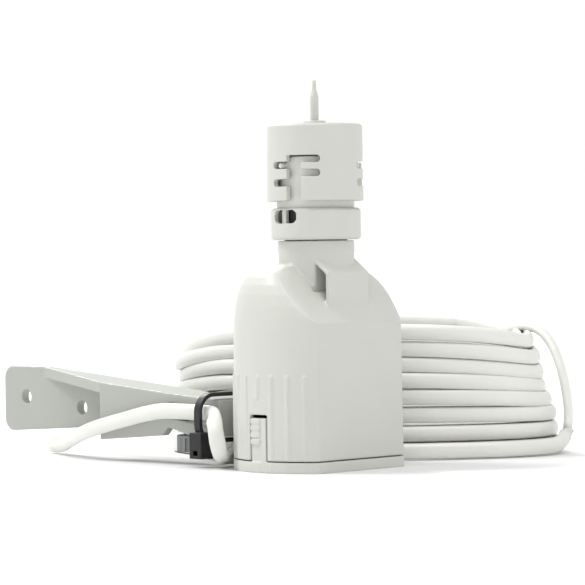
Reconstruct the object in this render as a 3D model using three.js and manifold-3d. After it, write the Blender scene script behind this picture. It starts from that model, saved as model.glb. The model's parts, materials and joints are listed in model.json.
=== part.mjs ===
// Wired rain sensor with a flat-fronted housing, a turning vent ring, an adjustable sensor cap with
// a test spindle, a gutter bracket and its coil of flat two-core cable.
// Millimetres, +Z up. The origin is the centre of the base's underside, on the housing's axis.
// The flat front faces -Y, the two latches face -X and +X, and the cable leaves at +Y.

import * as THREE from 'three';
import { mergeVertices } from 'three/addons/utils/BufferGeometryUtils.js';
import Module from 'manifold-3d';

const wasm = await Module();
wasm.setup();

// ---------------------------------------------------------------- driving dimensions

const GAP = 0.3; // clearance between pieces that touch
const ROUND = 60; // sides of a full circle on the big turned pieces
const SMALL_ROUND = 24; // sides of a full circle on small pieces

// housing
const BODY_R = 24.6; // rounded side of the body, at the base
const BODY_DRAFT = 0.3; // radius lost up to the spring of the dome
const FRONT_FLAT = 17.4; // axis to the flat front
const WALL = 1.8;
const SHOULDER_Z = 58.6; // flat top round the neck
const SHOULDER_R = 12;
const DOME_HEIGHT = 22.6;
const DOME_POWER = 2.9; // superellipse exponent of the dome
const SLOPE_Z = 42; // crease between the flat front and the slope
const SLOPE_DEG = 47;
const NECK_R = 11;
const NECK_HEIGHT = 7.2; // above the shoulder
const NECK_WALL = 1.8;

// grip ribs
const RIB_STEP_DEG = 12;
const RIB_WIDTH = 0.9;
const RIB_PROUD = 0.35;
const RIB_TOP_Z = 27.5;
const SHORT_RIB_FOOT_Z = 21.2; // ribs above the latches stop here

// base cover and latches
const BASE_H = 3.1;
const RIM_H = 2.2;
const RIM_WALL = 1.5;
const LATCH_WIDTH = 6.2;
const LATCH_TOP_Z = 15.6;
const LATCH_SLIT = 0.9;
const LATCH_SIDE_GAP = 0.3;
const LATCH_BUMPS = 4;
const DRAIN_R = 1.3;

// bracket loop on the slope
const LOOP_WIDTH = 16.7;
const LOOP_FACE = 13; // axis to the loop's outer face
const LOOP_TOP_Z = 56.7;
const LOOP_ROOF_DEG = 36;
const LOOP_WALL = 1.2;
const LOOP_PASSAGE = 4.3; // front to back
const LOOP_FLOOR_Z = 51;

// vent sleeve
const SLEEVE_FIT = 1; // sleeve to the inside of the cap
const SLEEVE_WALL = 1.5;
const SLEEVE_REACH = 12.7; // above the cap's mouth
const SPIGOT_HEIGHT = 4.9;
const SPIGOT_WALL = 1.5;
const SHELF = 2; // floor inside the sleeve
const VENT_COUNT = 12;
const VENT_WIDTH = 3.8;
const VENT_DEG = 4.6; // centre of the first vent
const VENT_HEIGHT = 4;
const PEG_R = 0.85;
const PEG_RISE = 10.1; // above the cap's mouth
const PEG_DEG = 175.3;
const KEYS = 3; // pegs on the sleeve and slot groups in the cap

// vent ring
const RING_INSET = 0.7; // ring's side to the cap's side
const RING_HEIGHT = 9.1;
const RING_LIP = 1.4; // height of the lip under the sleeve's shoulder
const RING_WINDOWS = 2;
const WINDOW_WIDTH = 9;
const WINDOW_HEIGHT = 3.9;
const WINDOW_DEG = 179.3;
const WINDOW_DROP = 0.5; // top of the ring to the top of the window

// sensor cap
const CAP_R = 13.7; // at the top
const CAP_FLARE = 0.27; // extra radius at the mouth
const CAP_WALL = 1.5;
const CAP_ROOF = 1.6;
const CAP_HEIGHT = 22.1;
const CAP_LIFT = 2.1; // ring to cap
const CAP_BOSS_R = 3.5;
const CAP_BOSS_H = 1.1;
const SLOT_DEG = 198; // centre of the first slot group
const SLOT_HALF_DEG = 9.5; // half width of the upright slot
const SLOT_REACH_DEG = 33; // end of a level slot, from the group's centre
const SLOT_H = 2.1;
const SLOTS_RIGHT = [11.95, 7.95]; // middles of the level slots, above the cap's mouth
const SLOTS_LEFT = [10.15, 5.15];

// disc stack, spindle and plunger
const DISC_COUNT = 7;
const DISC_FIT = 0.7; // radial room round the discs
const DISC_T = 1.8;
const SPINDLE_R = 1.2;
const SPINDLE_FIT = 0.4; // radial room round the spindle
const SPINDLE_NECK_RISE = 8.1; // above the cap's top
const SPINDLE_RISE = 12.8;
const SPINDLE_TIP_R = 0.5;
const FLANGE_FIT = 1.2; // radial room round the flange
const FLANGE_T = 1.5;
const HUB_R = 3;
const HUB_DEPTH = 6;
const STEM_R = 2;
const STEM_FIT = 0.4;
const STEM_END_Z = 45.7;
const TOP_WASHER_T = 0.5;
const SCREEN_T = 0.5; // insect screen behind the vents
const SCREEN_RISE = 0.8; // above the vent ring
const SPRING_R = 5.5;
const SPRING_WIRE_R = 0.4;
const SPRING_TURNS = 5;
const BOOT_HEIGHT = 1.8;

// switch and its carrier
const SWITCH_LENGTH = 19.8;
const SWITCH_WIDTH = 6.4;
const SWITCH_HEIGHT = 10.2;
const SWITCH_END_X = -7; // end nearest the button
const BUTTON_SIDE = 2.6;
const BUTTON_HEIGHT = 3;
const BUTTON_TRAVEL_ROOM = 2;
const SWITCH_HOLE_PITCH = 9.5;
const SWITCH_HOLE_END = 5.15;
const SWITCH_HOLE_UP = 2.9;
const TERMINAL_WIDTH = 3.2;
const TERMINAL_T = 0.6;
const TERMINAL_LENGTH = 5.2;
const CARRIER_WIDTH = 22;
const CARRIER_T = 2;
const CARRIER_FOOT = 8.5;
const CARRIER_TOP_Z = 46;
const CARRIER_WINDOW = 13;
const CARRIER_WINDOW_TOP_Z = 26;
const SCREW_R = 1.1;
const SCREW_FIT = 0.3;
const SCREW_HEAD_R = 1.9;
const SCREW_HEAD_H = 1.2;

// cable
const CORD_R = 2.1; // stand-in for the flat cable, 5.2 wide by 2.8 thick
const EXIT_Z = 10.5;
const GROMMET_WALL = 1.15;
const GROMMET_FLANGE = 1.2; // extra radius and thickness of the flanges
const CLAMP_LENGTH = 4;
const CLAMP_WIDTH = 17;
const CLAMP_TOP_Z = 15;
const CLAMP_Y = 16;
const CORE_R = 0.9;
const INNER_END_Y = 12.6;

// bracket: two plates joined by a web, running along +Y from a tapered tongue
const BR_X = -17; // outer face of the front leg
const BR_DEPTH = 15; // across both plates
const BR_PLATE = 3;
const BR_CLEAR = 1.4; // housing to the tongue's tip; the lengths below run from that tip
const BR_LENGTH = 112;
const BR_KNEE = 92; // top edge is level beyond here
const BR_TOP_Z = 19.5; // top edge at the tongue's end
const BR_TOP_RISE = 0.083;
const BR_WEB = 3.4;
const BR_PADDLE_Z = 6.4; // bottom of the back plate at its far end
const BR_CORNER = 4;
const LEG_FAR = 51.3;
const LEG_NEAR = 20.5;
const LEG_FAR_Z = 6.2;
const LEG_NEAR_Z = 8.4;
const LEG_CHAMFER = 2.5;
const TONGUE_Z = 8.7; // underside of the tongue
const TONGUE_WIDTH = 9;
const TONGUE_TIP_X = -10.5; // middle of the tongue at its tip
const PANEL_DEPTH = 3.4;
const PANEL_START = 5;
const PANEL_END = 31.5;
const PANEL_BAR = 3;
const PLATE_HOLE_R = 2.25;
const PLATE_HOLES = [
	{ along: 101, z: 17.4 },
	{ along: 73.7, z: 14.7 },
];

// thumb screw under the tongue
const THUMB_X = -11;
const THUMB_ALONG = 17;
const THUMB_SHANK_R = 2;
const THUMB_HEAD_R = 4;
const THUMB_HEAD_Z = 3.6;
const THUMB_HEAD_H = 5;
const THUMB_SHANK_TOP_Z = 15;
const NUT_R = 3.6;
const NUT_H = 2.6;

// cable tie
const TIE_ALONG = 2.2; // tongue's tip to the middle of the tie
const TIE_WIDTH = 2.5;
const TIE_BAND = 1.2;
const TIE_CORNER = 1;
const TIE_BEND = 4.5; // inside radius where it bends round the cable
const TIE_CORD_X = -17.8; // middle of the cable in the tie
const TIE_HEAD = { x: -20, z: 6.4, w: 5.6, d: 5, h: 7.6 };

// coil: an upright stack of oval turns
const COIL_X = 58.3;
const COIL_Y = 37.8;
const COIL_LONG = 63.2; // outer half length
const COIL_SHORT = 39.2; // outer half width
const COIL_BAND = 9.4; // thickness of the wound band
const COIL_HEIGHT = 41.8;
const COIL_TURN_DEG = -60; // direction of the long axis

// cable route between the housing and the coil
const LEAD_ROUTE = [
	[0, 27.6, 10.5], [0, 30.5, 10.3], [0.2, 34, 9.4], [0.8, 38, 7.7], [1.8, 42.5, 5.7],
	[3.2, 47, 4.1], [5, 51.5, 3.1], [7.2, 56, 2.7], [9.3, 60, 2.6],
];

// cable route from the coil's near end, round the back of the housing and through the tie
const TAIL_ROUTE = [
	[93.8, -17.9, 24], [91.6, -19.5, 17], [88.2, -21.3, 11], [84, -22.8, 6.2], [79.2, -23.6, 3.4],
	[73, -23.5, 2.5], [64.6, -21.5, 2.5], [55.8, -17.8, 2.5], [46.7, -12, 2.5], [38.5, -5.8, 2.5],
	[31.6, 0.6, 2.5], [27.9, 6.8, 2.5], [24.6, 13, 2.5], [20.5, 18.5, 2.5], [15, 23.4, 2.5],
	[8, 26.7, 2.5], [0.5, 27.9, 2.5], [-7, 27, 2.5], [-13.6, 24.2, 2.5], [-19, 20.4, 2.7],
	[-23.2, 17.2, 4.8], [-25.4, 16, 8.4], [-25, 17.2, 12], [-22.4, 20.4, 14.6], [-19.2, 24, 15.6],
	[TIE_CORD_X, 28.2, 15.8], [-17.9, 33, 15.9], [-18.8, 39, 16], [-19.8, 46, 15.9], [-20, 54, 14.7],
	[-20, 62, 13], [-19.9, 70, 11.3], [-19.6, 78, 9.4], [-17.6, 86, 7.4], [-14.6, 93.5, 5.5],
	[-11.3, 100.5, 3.9], [-8.5, 107, 2.9], [-5.9, 113.5, 2.5],
];

// ---------------------------------------------------------------- derived places

const SEAM_Z = BASE_H + GAP; // lower edge of the housing
const NECK_TOP_Z = SHOULDER_Z + NECK_HEIGHT;
const BORE_R = NECK_R - NECK_WALL;
const RING_Z = NECK_TOP_Z + GAP;
const RING_TOP_Z = RING_Z + RING_HEIGHT;
const LIP_R = BORE_R + 1.1; // inner radius of the ring's lip
const CAP_Z = RING_TOP_Z + CAP_LIFT;
const CAP_TOP_Z = CAP_Z + CAP_HEIGHT;
const CAP_INNER_R = CAP_R - CAP_WALL;
const SLEEVE_R = CAP_INNER_R - SLEEVE_FIT;
const SLEEVE_BORE_R = SLEEVE_R - SLEEVE_WALL;
const SLEEVE_TOP_Z = CAP_Z + SLEEVE_REACH;
const PEG_Z = CAP_Z + PEG_RISE;
const RING_R = CAP_R - RING_INSET;
const DISC_R = SLEEVE_BORE_R - DISC_FIT;
const FLANGE_R = SLEEVE_BORE_R - FLANGE_FIT;
const SPINDLE_NECK_Z = CAP_TOP_Z + SPINDLE_NECK_RISE;
const SPINDLE_TOP_Z = CAP_TOP_Z + SPINDLE_RISE;
const SHELF_TOP_Z = RING_Z + SHELF;
const SPIGOT_Z = RING_Z - SPIGOT_HEIGHT;
const STACK_TOP_Z = CAP_TOP_Z - CAP_ROOF - GAP;
const DISC_PITCH = DISC_T + GAP;
const STACK_Z = STACK_TOP_Z - TOP_WASHER_T - DISC_COUNT * DISC_PITCH;
const FLANGE_Z = STACK_Z - GAP - FLANGE_T;
const SOCKET_Z = FLANGE_Z + FLANGE_T - HUB_DEPTH;
const SWITCH_TOP_Z = STEM_END_Z - 1.5;
const SWITCH_Z = SWITCH_TOP_Z - SWITCH_HEIGHT;
const CARRIER_Y = SWITCH_WIDTH / 2 + GAP;
const BR_BACK_X = BR_X + BR_DEPTH; // outer face of the back plate
const BR_START_Y = BODY_R + BR_CLEAR; // tip of the tongue
const BR_END_Y = BR_START_Y + BR_LENGTH;
const BR_KNEE_Y = BR_START_Y + BR_KNEE;
const LEG_FAR_Y = BR_START_Y + LEG_FAR;
const LEG_NEAR_Y = BR_START_Y + LEG_NEAR;
const PANEL_START_Y = BR_START_Y + PANEL_START;
const PANEL_END_Y = BR_START_Y + PANEL_END;
const THUMB_Y = BR_START_Y + THUMB_ALONG;
const TIE_Y = BR_START_Y + TIE_ALONG;
const LOOP_BACK = LOOP_FACE - LOOP_WALL - LOOP_PASSAGE;
const KEEP_OUT = LOOP_BACK - WALL; // front of the cavity behind the loop

// ---------------------------------------------------------------- solid helpers

const rad = THREE.MathUtils.degToRad;

function positionsOnly(geometry) {
	const plain = geometry.clone();
	plain.deleteAttribute('normal');
	plain.deleteAttribute('uv');
	return mergeVertices(plain, 1e-4);
}

function signedVolume(geometry) {
	const p = geometry.attributes.position;
	const index = geometry.index.array;
	const a = new THREE.Vector3();
	const b = new THREE.Vector3();
	const c = new THREE.Vector3();
	let sum = 0;
	for (let i = 0; i < index.length; i += 3) {
		a.fromBufferAttribute(p, index[i]);
		b.fromBufferAttribute(p, index[i + 1]);
		c.fromBufferAttribute(p, index[i + 2]);
		sum += a.dot(b.cross(c));
	}
	return sum / 6;
}

function solid(geometry) {
	const plain = positionsOnly(geometry);
	const triVerts = Uint32Array.from(plain.index.array);
	if (signedVolume(plain) < 0) {
		for (let i = 0; i < triVerts.length; i += 3) {
			[triVerts[i], triVerts[i + 1]] = [triVerts[i + 1], triVerts[i]];
		}
	}
	const vertProperties = Float32Array.from(plain.attributes.position.array);
	return new wasm.Manifold(new wasm.Mesh({ numProp: 3, vertProperties, triVerts }));
}

function joined(pieces) {
	return pieces.reduce((sum, piece) => sum.add(piece));
}

function cut(body, pieces) {
	return pieces.reduce((rest, piece) => rest.subtract(piece), body);
}

function geometryOf(manifold) {
	const mesh = manifold.getMesh();
	const geometry = new THREE.BufferGeometry();
	geometry.setAttribute('position', new THREE.BufferAttribute(Float32Array.from(mesh.vertProperties), 3));
	geometry.setIndex(new THREE.BufferAttribute(Uint32Array.from(mesh.triVerts), 1));
	geometry.computeVertexNormals();
	return geometry;
}

// a block between two corners
function block(x0, x1, y0, y1, z0, z1) {
	const geometry = new THREE.BoxGeometry(x1 - x0, y1 - y0, z1 - z0);
	geometry.translate((x0 + x1) / 2, (y0 + y1) / 2, (z0 + z1) / 2);
	return solid(geometry);
}

// a turned solid about Z from a closed loop of [radius, z] points
function turned(points, sides = ROUND) {
	const loop = points.map(([r, z]) => new THREE.Vector2(r, z));
	const touchesAxis = points[0][0] === 0 && points[points.length - 1][0] === 0;
	if (!touchesAxis) {
		loop.push(loop[0].clone());
	}
	const geometry = new THREE.LatheGeometry(loop, sides);
	geometry.rotateX(Math.PI / 2); // the lathe's +Y axis becomes +Z
	return solid(geometry);
}

function disc(radius, z0, z1, sides = SMALL_ROUND) {
	return turned([[0, z0], [radius, z0], [radius, z1], [0, z1]], sides);
}

function washer(inner, outer, z0, z1, sides = SMALL_ROUND) {
	return turned([[inner, z0], [outer, z0], [outer, z1], [inner, z1]], sides);
}

// an outline of [a, b] points
function outline(points) {
	return new THREE.Shape(points.map(([a, b]) => new THREE.Vector2(a, b)));
}

// an XY outline raised from z0 to z1
function raised(shape, z0, z1, curveSegments = 12) {
	const geometry = new THREE.ExtrudeGeometry(shape, { depth: z1 - z0, bevelEnabled: false, curveSegments });
	geometry.translate(0, 0, z0);
	return solid(geometry);
}

// a YZ outline widened from x0 to x1
function widened(shape, x0, x1, curveSegments = 12) {
	const geometry = new THREE.ExtrudeGeometry(shape, { depth: x1 - x0, bevelEnabled: false, curveSegments });
	const axes = new THREE.Matrix4().set(0, 0, 1, x0, 1, 0, 0, 0, 0, 1, 0, 0, 0, 0, 0, 1);
	geometry.applyMatrix4(axes);
	return solid(geometry);
}

// an XZ outline deepened from y0 to y1
function deepened(shape, y0, y1, curveSegments = 12) {
	const geometry = new THREE.ExtrudeGeometry(shape, { depth: y1 - y0, bevelEnabled: false, curveSegments });
	const axes = new THREE.Matrix4().set(1, 0, 0, 0, 0, 0, 1, y0, 0, 1, 0, 0, 0, 0, 0, 1);
	geometry.applyMatrix4(axes);
	return solid(geometry);
}

// a turned solid moved so that its +Z axis lies along +Y
function laidAlongY(manifold, x, y, z) {
	return manifold.rotate([-90, 0, 0]).translate([x, y, z]);
}

// a turned solid moved so that its +Z axis points outward at an angle about Z
function laidOutward(manifold, degrees, z) {
	return manifold.rotate([0, 90, 0]).rotate([0, 0, degrees]).translate([0, 0, z]);
}

// a rounded oblong, whose two left corners may have their own radius
function roundedOutline(width, height, radius, leftRadius = radius) {
	const w = width / 2;
	const h = height / 2;
	const shape = new THREE.Shape();
	shape.moveTo(-w + leftRadius, -h);
	shape.lineTo(w - radius, -h);
	shape.absarc(w - radius, -h + radius, radius, -Math.PI / 2, 0);
	shape.lineTo(w, h - radius);
	shape.absarc(w - radius, h - radius, radius, 0, Math.PI / 2);
	shape.lineTo(-w + leftRadius, h);
	shape.absarc(-w + leftRadius, h - leftRadius, leftRadius, Math.PI / 2, Math.PI);
	shape.lineTo(-w, -h + leftRadius);
	shape.absarc(-w + leftRadius, -h + leftRadius, leftRadius, Math.PI, Math.PI * 1.5);
	return shape;
}

// part of a ring about Z between two angles
function sector(inner, outer, fromDeg, toDeg, z0, z1) {
	const shape = new THREE.Shape();
	shape.absarc(0, 0, outer, rad(fromDeg), rad(toDeg), false);
	shape.absarc(0, 0, inner, rad(toDeg), rad(fromDeg), true);
	return raised(shape, z0, z1, 8);
}

// a round tube along hand-chosen points
function tube(points, radius, sides, stepsPerPoint) {
	const curve = new THREE.CatmullRomCurve3(points.map((p) => new THREE.Vector3(...p)), false, 'centripetal');
	const section = new THREE.Shape();
	section.absarc(0, 0, radius, 0, Math.PI * 2);
	const steps = Math.round((points.length - 1) * stepsPerPoint);
	const options = { steps, extrudePath: curve, curveSegments: sides, bevelEnabled: false };
	return solid(new THREE.ExtrudeGeometry(section, options));
}

// ---------------------------------------------------------------- scene helpers

const group = new THREE.Group();
group.name = 'rain_sensor';

const WHITE = { color: 0xdcded8, roughness: 0.45, metalness: 0 };
const INNER_WHITE = { color: 0xe4e5e0, roughness: 0.5, metalness: 0 };
const CABLE_WHITE = { color: 0xf0f0ee, roughness: 0.4, metalness: 0 };
const DARK = { color: 0x17181a, roughness: 0.5, metalness: 0 };
const SWITCH_GREY = { color: 0x3a3c40, roughness: 0.55, metalness: 0 };
const RUBBER = { color: 0x26282a, roughness: 0.85, metalness: 0 };
const STEEL = { color: 0xb4b7ba, roughness: 0.35, metalness: 1 };
const BRASS = { color: 0xc9a65a, roughness: 0.35, metalness: 1 };
const DISC_TAN = { color: 0xcbb48c, roughness: 0.9, metalness: 0 };
const RED_CORE = { color: 0xb43a30, roughness: 0.5, metalness: 0 };
const BLACK_CORE = { color: 0x222222, roughness: 0.5, metalness: 0 };

function addMesh(parent, name, manifold, look) {
	const mesh = new THREE.Mesh(geometryOf(manifold), new THREE.MeshStandardMaterial(look));
	mesh.name = name;
	parent.add(mesh);
	return mesh;
}

// ---------------------------------------------------------------- housing and base cover

// radius of the dome at a height, for a skin set in by `inset`
function domeProfile(inset, footZ) {
	const spring = BODY_R - BODY_DRAFT - inset;
	const flat = SHOULDER_R - inset;
	const top = SHOULDER_Z - inset;
	const springZ = SHOULDER_Z - DOME_HEIGHT;
	const points = [[0, footZ], [BODY_R - inset, footZ]];
	const steps = 9;
	for (let i = 0; i <= steps; i++) {
		const up = Math.sin((i / steps) * Math.PI / 2);
		const out = (1 - up ** DOME_POWER) ** (1 / DOME_POWER);
		points.push([flat + (spring - flat) * out, springZ + (top - springZ) * up]);
	}
	points.push([0, top]);
	return points;
}

// everything in front of the flat front, set in by `inset`
function frontCutter(inset) {
	const y = -FRONT_FLAT + inset;
	return block(-60, 60, y - 60, y, -10, 120);
}

// everything above the slope, set in by `inset`
function slopeCutter(inset) {
	const tilt = rad(SLOPE_DEG);
	const y = -FRONT_FLAT + inset * Math.sin(tilt);
	const z = SLOPE_Z - inset * Math.cos(tilt);
	return block(-60, 60, -60, 60, 0, 60).rotate([SLOPE_DEG, 0, 0]).translate([0, y, z]);
}

function loopRoof(inset) {
	const face = LOOP_FACE - inset;
	const back = LOOP_BACK - (inset ? 0 : 1);
	const drop = inset / Math.cos(rad(LOOP_ROOF_DEG)) - inset * Math.tan(rad(LOOP_ROOF_DEG));
	const frontZ = LOOP_TOP_Z - drop;
	return { face, back, frontZ, backZ: frontZ + (face - back) * Math.tan(rad(LOOP_ROOF_DEG)) };
}

function loopBoss() {
	const { face, back, frontZ, backZ } = loopRoof(0);
	const foot = SLOPE_Z;
	const side = outline([[-face, foot], [-face, frontZ], [-back, backZ], [0, backZ], [0, foot]]);
	return widened(side, -LOOP_WIDTH / 2, LOOP_WIDTH / 2);
}

function loopPassage() {
	const { face, back, frontZ, backZ } = loopRoof(LOOP_WALL);
	const rise = Math.tan(rad(SLOPE_DEG));
	const faceFloor = SLOPE_Z + (FRONT_FLAT - face) * rise;
	const levelAt = FRONT_FLAT - (LOOP_FLOOR_Z - SLOPE_Z) / rise;
	const side = outline([
		[-face, faceFloor], [-levelAt, LOOP_FLOOR_Z], [-back, LOOP_FLOOR_Z], [-back, backZ], [-face, frontZ],
	]);
	return widened(side, -LOOP_WIDTH / 2 - 1.5, LOOP_WIDTH / 2 + 1.5);
}

// the cavity stays this far behind the loop's passage
function passageGuard() {
	const { backZ } = loopRoof(LOOP_WALL);
	return block(-30, 30, -30, -KEEP_OUT, LOOP_FLOOR_Z - WALL, backZ + WALL);
}

function ribs(footZ, topZ, latchFootZ, radius) {
	const pieces = [];
	const cornerDeg = (Math.acos(FRONT_FLAT / BODY_R) * 180) / Math.PI;
	const first = Math.ceil((-90 + cornerDeg + 3) / RIB_STEP_DEG);
	const last = Math.floor((270 - cornerDeg - 3) / RIB_STEP_DEG);
	for (let i = first; i <= last; i++) {
		const degrees = i * RIB_STEP_DEG;
		const onLatch = degrees % 180 === 0;
		const foot = onLatch ? latchFootZ : footZ;
		if (foot < topZ) {
			const rib = block(radius - 1, radius + RIB_PROUD, -RIB_WIDTH / 2, RIB_WIDTH / 2, foot, topZ);
			pieces.push(rib.rotate([0, 0, degrees]));
		}
	}
	return pieces;
}

function latchWindows() {
	const half = LATCH_WIDTH / 2 + LATCH_SIDE_GAP;
	const top = LATCH_TOP_Z + LATCH_SLIT;
	return [-1, 1].map((side) => {
		const inner = side * (BODY_R - WALL - 1.2);
		const outer = side * (BODY_R + 2);
		return block(Math.min(inner, outer), Math.max(inner, outer), -half, half, 0, top);
	});
}

function grommetHole() {
	const hole = disc(CORD_R + GAP + GROMMET_WALL + GAP, 0, 12);
	return laidAlongY(hole, 0, BODY_R - 8, EXIT_Z);
}

function housing() {
	const dome = cut(turned(domeProfile(0, SEAM_Z)), [frontCutter(0), slopeCutter(0)]);
	const fillet = turned([
		[0, SHOULDER_Z - 1], [NECK_R + 0.9, SHOULDER_Z - 1], [NECK_R + 0.9, SHOULDER_Z],
		[NECK_R + 0.3, SHOULDER_Z + 0.4], [NECK_R, SHOULDER_Z + 1.1], [0, SHOULDER_Z + 1.1],
	]);
	const neck = disc(NECK_R, SLOPE_Z + 2, NECK_TOP_Z, ROUND);
	const outer = joined([dome, cut(fillet, [slopeCutter(0)]), neck, loopBoss(),
		...ribs(SEAM_Z, RIB_TOP_Z, SHORT_RIB_FOOT_Z, BODY_R - BODY_DRAFT / 2)]);
	const room = cut(turned(domeProfile(WALL, 0)), [frontCutter(WALL), slopeCutter(WALL)]);
	const bore = disc(BORE_R, SHOULDER_Z - WALL - 1, NECK_TOP_Z + 1, ROUND);
	const cavity = cut(joined([room, bore]), [passageGuard()]);
	return cut(outer, [cavity, loopPassage(), ...latchWindows(), grommetHole()]);
}

function latchTongue(side) {
	const outer = BODY_R - 0.2;
	const inner = BODY_R - WALL + 0.1;
	const half = LATCH_WIDTH / 2;
	const tongue = block(inner, outer - 0.5, -half, half, BASE_H - 1, LATCH_TOP_Z);
	const bumpFoot = LATCH_TOP_Z / 2;
	const pitch = (LATCH_TOP_Z - bumpFoot) / LATCH_BUMPS;
	const bumps = [];
	for (let i = 0; i < LATCH_BUMPS; i++) {
		const z = bumpFoot + i * pitch;
		bumps.push(block(inner + 0.2, outer, -half, half * 0.15, z + 0.3, z + pitch - 0.3));
	}
	const spine = block(inner + 0.2, outer, half * 0.45, half, BASE_H - 1, LATCH_TOP_Z - 0.2);
	const snap = joined([tongue, spine, ...bumps]);
	return side > 0 ? snap : snap.rotate([0, 0, 180]);
}

function screwPilots() {
	return [...carrierScrewPlaces(), ...clampScrewPlaces()].map(([x, y]) =>
		disc(SCREW_R + SCREW_FIT, 1.2, BASE_H + 1).translate([x, y, 0]));
}

function baseCover() {
	const rimR = BODY_R - WALL - GAP;
	const plate = cut(disc(BODY_R + 0.1, 0, BASE_H, ROUND), [frontCutter(-0.1)]);
	const rimInner = cut(disc(rimR - RIM_WALL, BASE_H - 2, 20, ROUND), [frontCutter(WALL + GAP + RIM_WALL)]);
	const rimOuter = cut(disc(rimR, BASE_H - 1, BASE_H + RIM_H, ROUND), [frontCutter(WALL + GAP)]);
	const rim = cut(rimOuter, [rimInner, ...latchWindows()]);
	const drains = [-8, 0, 8].map((x) => disc(DRAIN_R, -1, BASE_H + 1).translate([x, -9, 0]));
	const edgeRibs = ribs(0.4, BASE_H, 0.4, BODY_R - BODY_DRAFT / 2);
	const body = joined([plate, rim, latchTongue(1), latchTongue(-1), ...edgeRibs]);
	return cut(body, [...drains, ...screwPilots()]);
}

// ---------------------------------------------------------------- switch and its carrier

function carrierScrewPlaces() {
	return [-7.5, 7.5].map((x) => [x, CARRIER_Y + CARRIER_T + (CARRIER_FOOT - CARRIER_T) / 2]);
}

function switchHolePlaces() {
	return [0, 1].map((i) => [
		SWITCH_END_X + SWITCH_HOLE_END + i * SWITCH_HOLE_PITCH,
		SWITCH_Z + SWITCH_HOLE_UP,
	]);
}

function switchCarrier() {
	const half = CARRIER_WIDTH / 2;
	const wall = block(-half, half + 2, CARRIER_Y, CARRIER_Y + CARRIER_T, SEAM_Z, CARRIER_TOP_Z);
	const foot = block(-half, half + 2, CARRIER_Y, CARRIER_Y + CARRIER_FOOT, SEAM_Z, SEAM_Z + CARRIER_T);
	const w = CARRIER_WINDOW / 2;
	const near = CARRIER_Y - 1;
	const window = block(-w, w, near, near + CARRIER_T + 2, SEAM_Z + CARRIER_T, CARRIER_WINDOW_TOP_Z);
	const footHoles = carrierScrewPlaces().map(([x, y]) =>
		disc(SCREW_R + SCREW_FIT, SEAM_Z - 1, SEAM_Z + CARRIER_T + 1).translate([x, y, 0]));
	const switchHoles = switchHolePlaces().map(([x, z]) =>
		laidAlongY(disc(SCREW_R + SCREW_FIT, 0, CARRIER_T + 2), x, CARRIER_Y - 1, z));
	return cut(joined([wall, foot]), [window, ...footHoles, ...switchHoles]);
}

function switchCase() {
	const half = SWITCH_WIDTH / 2;
	const body = block(SWITCH_END_X, SWITCH_END_X + SWITCH_LENGTH, -half, half, SWITCH_Z, SWITCH_TOP_Z);
	const s = BUTTON_SIDE / 2 + GAP;
	const pocketZ = STEM_END_Z - GAP - BUTTON_HEIGHT - BUTTON_TRAVEL_ROOM;
	const pocket = block(-s, s, -s, s, pocketZ, SWITCH_TOP_Z + 1);
	const holes = switchHolePlaces().map(([x, z]) =>
		laidAlongY(disc(SCREW_R + SCREW_FIT, 0, SWITCH_WIDTH + 2), x, -half - 1, z));
	return cut(body, [pocket, ...holes]);
}

function switchButton() {
	const s = BUTTON_SIDE / 2;
	const top = STEM_END_Z - GAP;
	return block(-s, s, -s, s, top - BUTTON_HEIGHT, top);
}

function terminal(x) {
	const w = TERMINAL_WIDTH / 2;
	const t = TERMINAL_T / 2;
	const top = SWITCH_Z - GAP;
	const blade = block(x - w, x + w, -t, t, top - TERMINAL_LENGTH, top);
	const eye = laidAlongY(disc(0.6, 0, 4, 12), x, -2, top - TERMINAL_LENGTH * 0.7);
	return cut(blade, [eye]);
}

function screw(shankLength) {
	const slot = block(-SCREW_HEAD_R, SCREW_HEAD_R, -0.3, 0.3, SCREW_HEAD_H - 0.5, SCREW_HEAD_H + 1);
	const body = turned([
		[0, -shankLength], [SCREW_R, -shankLength], [SCREW_R, 0], [SCREW_HEAD_R, 0],
		[SCREW_HEAD_R, SCREW_HEAD_H * 0.6], [SCREW_HEAD_R * 0.7, SCREW_HEAD_H], [0, SCREW_HEAD_H],
	], SMALL_ROUND);
	return cut(body, [slot]);
}

function buildSwitch(parent) {
	addMesh(parent, 'switch_carrier', switchCarrier(), INNER_WHITE);
	addMesh(parent, 'switch_case', switchCase(), SWITCH_GREY);
	addMesh(parent, 'switch_button', switchButton(), RED_CORE);
	const first = SWITCH_END_X + 2;
	const pitch = (SWITCH_LENGTH - 4) / 2;
	['terminal_common', 'terminal_open', 'terminal_closed'].forEach((name, i) =>
		addMesh(parent, name, terminal(first + i * pitch), BRASS));
	switchHolePlaces().forEach(([x, z], i) => {
		const length = SWITCH_WIDTH + CARRIER_T;
		const placed = screw(length).rotate([90, 0, 0]).translate([x, -SWITCH_WIDTH / 2 - GAP, z]);
		addMesh(parent, `switch_screw_${i + 1}`, placed, STEEL);
	});
	carrierScrewPlaces().forEach(([x, y], i) => {
		const z = SEAM_Z + CARRIER_T + GAP;
		addMesh(parent, `carrier_screw_${i + 1}`, screw(z - 1.6).translate([x, y, z]), STEEL);
	});
}

// ---------------------------------------------------------------- cable entry

function clampScrewPlaces() {
	return [-6, 6].map((x) => [x, CLAMP_Y]);
}

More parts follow.
